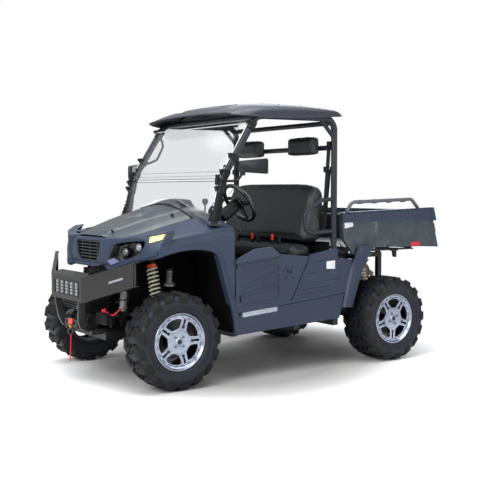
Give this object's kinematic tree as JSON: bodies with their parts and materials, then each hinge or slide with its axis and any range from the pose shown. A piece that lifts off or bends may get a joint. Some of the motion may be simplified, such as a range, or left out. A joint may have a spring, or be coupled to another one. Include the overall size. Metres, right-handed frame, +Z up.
{
  "type": "side by side utility vehicle",
  "caption": "Open two-seat utility vehicle with a roll cage, hinged doors, tilting hood, tipping load bed, winch bumper and steered front wheels.",
  "frame": {"origin": "on the ground at the middle of the vehicle's length and width", "axes": "+X to the vehicle's left, -Y forward, +Y to the tail, +Z up; the wheels stand on z = 0"},
  "size_m": [1.8736, 3.014, 1.996],
  "materials": {
    "frame_steel": "satin",
    "bumper_paint": "satin",
    "winch_black": "satin",
    "red_webbing": "woven",
    "body_plastic": "satin moulded",
    "black_plastic": "textured",
    "lamp_lens": "clear lens",
    "patterned_plastic": "veined grey-green pattern",
    "black_rubber": "matte",
    "seat_vinyl": "grained vinyl",
    "belt_webbing": "woven",
    "cage_steel": "satin powder coat",
    "roof_plastic": "satin moulded",
    "clear_screen": "clear",
    "engine_metal": "cast",
    "exhaust_steel": "heat stained",
    "spring_cream": "gloss",
    "cast_steel": "cast",
    "red_lens": "ribbed lens",
    "tyre_rubber": "matte tread",
    "alloy": "machined"
  },
  "bodies": {
    "chassis": {"frame": "frame_steel", "hitch": "frame_steel", "front_bumper": "bumper_paint", "winch": "winch_black", "winch_strap": "red_webbing", "nose": "body_plastic", "grille": "black_plastic", "headlamps": "lamp_lens", "front_fenders": "body_plastic", "cowl": "patterned_plastic", "dash": "black_plastic", "floor": "black_plastic", "sills": "body_plastic", "side_panels": "body_plastic", "seat_base": "black_plastic", "seat_cushion": "seat_vinyl", "seat_back": "seat_vinyl", "headrests": "seat_vinyl", "seat_belts": "belt_webbing", "cage_sides": "cage_steel", "cage_cross": "cage_steel", "roof": "roof_plastic", "windscreen": "clear_screen", "mirrors": "black_plastic", "engine": "engine_metal", "exhaust": "exhaust_steel", "suspension_arms": "frame_steel", "half_shafts": "frame_steel", "shocks": "spring_cream"},
    "steering": {"steering_wheel": "black_rubber"},
    "knuckle_left": {"knuckle_left": "cast_steel"},
    "knuckle_right": {"knuckle_right": "cast_steel"},
    "wheel_front_left": {"tyre_front_left": "tyre_rubber", "rim_front_left": "alloy"},
    "wheel_front_right": {"tyre_front_right": "tyre_rubber", "rim_front_right": "alloy"},
    "wheel_rear_left": {"tyre_rear_left": "tyre_rubber", "rim_rear_left": "alloy"},
    "wheel_rear_right": {"tyre_rear_right": "tyre_rubber", "rim_rear_right": "alloy"},
    "door_left": {"door_left": "body_plastic"},
    "door_right": {"door_right": "body_plastic"},
    "hood": {"hood": "patterned_plastic"},
    "bed": {"bed_box": "patterned_plastic", "bed_rails": "cage_steel", "tail_lamps": "red_lens"},
    "tailgate": {"tailgate": "body_plastic"}
  },
  "joints": [
    {"name": "steering_turn", "type": "hinge", "parent": "chassis", "child": "steering", "pos_m": [0.35, -0.267, 1.245], "axis": [0, 0.8387, 0.5446], "range_deg": [-270, 270]},
    {"name": "steer_left", "type": "hinge", "parent": "chassis", "child": "knuckle_left", "pos_m": [0.556, -1.032, 0.33], "axis": [0, 0, 1], "range_deg": [-30, 30]},
    {"name": "steer_right", "type": "hinge", "parent": "chassis", "child": "knuckle_right", "pos_m": [-0.556, -1.032, 0.33], "axis": [0, 0, 1], "range_deg": [-30, 30]},
    {"name": "roll_front_left", "type": "hinge", "parent": "knuckle_left", "child": "wheel_front_left", "pos_m": [0.666, -1.032, 0.33], "axis": [1, 0, 0], "continuous": true},
    {"name": "roll_front_right", "type": "hinge", "parent": "knuckle_right", "child": "wheel_front_right", "pos_m": [-0.666, -1.032, 0.33], "axis": [1, 0, 0], "continuous": true},
    {"name": "roll_rear_left", "type": "hinge", "parent": "chassis", "child": "wheel_rear_left", "pos_m": [0.674, 0.918, 0.33], "axis": [1, 0, 0], "continuous": true},
    {"name": "roll_rear_right", "type": "hinge", "parent": "chassis", "child": "wheel_rear_right", "pos_m": [-0.674, 0.918, 0.33], "axis": [1, 0, 0], "continuous": true},
    {"name": "door_left_hinge", "type": "hinge", "parent": "chassis", "child": "door_left", "pos_m": [0.7125, -0.552, 0.7], "axis": [0, 0, -1], "range_deg": [0, 70]},
    {"name": "door_right_hinge", "type": "hinge", "parent": "chassis", "child": "door_right", "pos_m": [-0.7125, -0.552, 0.7], "axis": [0, 0, 1], "range_deg": [0, 70]},
    {"name": "hood_tilt", "type": "hinge", "parent": "chassis", "child": "hood", "pos_m": [0, -1.317, 1.01], "axis": [1, 0, 0], "range_deg": [0, 55]},
    {"name": "bed_tilt", "type": "hinge", "parent": "chassis", "child": "bed", "pos_m": [0, 1.29, 0.85], "axis": [-1, 0, 0], "range_deg": [0, 40]},
    {"name": "tailgate_fold", "type": "hinge", "parent": "bed", "child": "tailgate", "pos_m": [0, 1.494, 0.887], "axis": [-1, 0, 0], "range_deg": [0, 100]}
  ],
  "couplings": [
    {"joint": "steer_left", "follows": "steering_turn", "ratio": 0.11111},
    {"joint": "steer_right", "follows": "steering_turn", "ratio": 0.11111}
  ]
}
